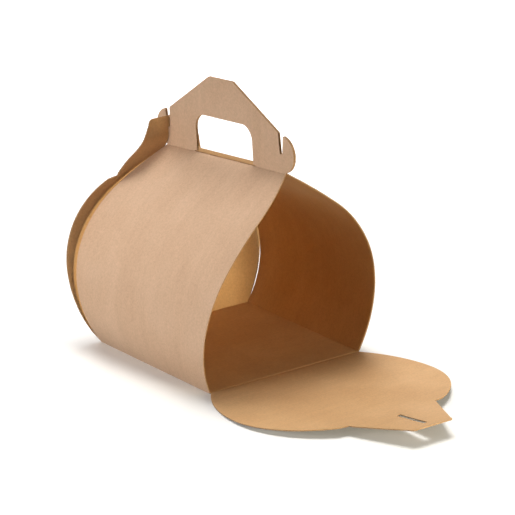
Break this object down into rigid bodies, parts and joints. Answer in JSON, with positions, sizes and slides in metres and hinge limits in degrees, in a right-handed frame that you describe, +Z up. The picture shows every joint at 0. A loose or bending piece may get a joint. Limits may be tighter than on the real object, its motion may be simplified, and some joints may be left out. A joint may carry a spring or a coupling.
{
  "type": "cake box with handle",
  "caption": "Folded kraft card carry box with bulging sides, a two-panel handle over the ridge and hooked end flaps, shown with its front end flap open.",
  "frame": {"origin": "centre of the underside of the base", "axes": "+Z up, X across the open end, -Y towards the open end and its laid-out flap"},
  "size_m": [0.13, 0.2349, 0.1506],
  "materials": {
    "kraft_card": "uncoated brown kraft card with a faint fibre fleck"
  },
  "bodies": {
    "carton": {"carton": "kraft_card"},
    "front_flap": {"front_flap": "kraft_card"}
  },
  "joints": [
    {"name": "front_flap_fold", "type": "hinge", "parent": "carton", "child": "front_flap", "pos_m": [0, -0.0496, 0.0003], "axis": [-1, 0, 0], "range_deg": [0, 78]}
  ]
}
